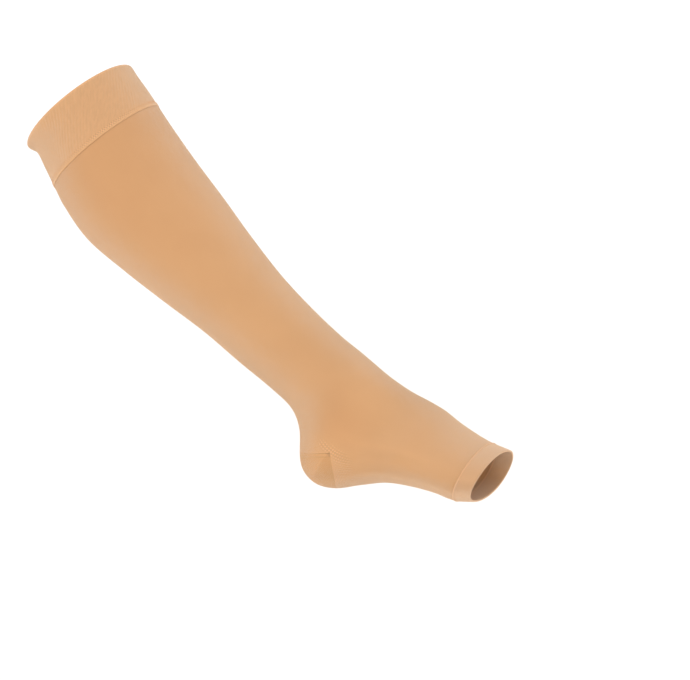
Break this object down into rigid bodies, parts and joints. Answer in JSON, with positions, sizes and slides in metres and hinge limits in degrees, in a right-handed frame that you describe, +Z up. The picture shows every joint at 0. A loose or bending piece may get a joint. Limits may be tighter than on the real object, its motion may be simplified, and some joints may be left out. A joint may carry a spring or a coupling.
{
  "type": "compression stocking",
  "caption": "Knee-high open-toe compression stocking in tan knit, hollow as worn on a pointed right foot, with a ribbed top band, a heel pocket and a toe band.",
  "frame": {"origin": "on the middle line of the leg inside the ribbed top band, where the wearer's leg holds the stocking", "axes": "+Z up as in the picture; +X horizontally from the knee end towards the toes; -Y is the outer side of the right leg, which faces the camera"},
  "size_m": [0.4339, 0.1144, 0.3707],
  "materials": {
    "rib_knit": "matt ribbed elastic knit, warm tan",
    "plain_knit": "matt fine elastic knit, warm tan, softly paler at grazing angles",
    "heel_knit": "matt reinforced knit, slightly darker tan",
    "hem_knit": "matt fine knit hem, slightly paler tan"
  },
  "bodies": {
    "root": {"top_band": "rib_knit", "leg": "plain_knit", "heel": "heel_knit", "foot": "plain_knit", "toe_band": "hem_knit"}
  },
  "joints": []
}
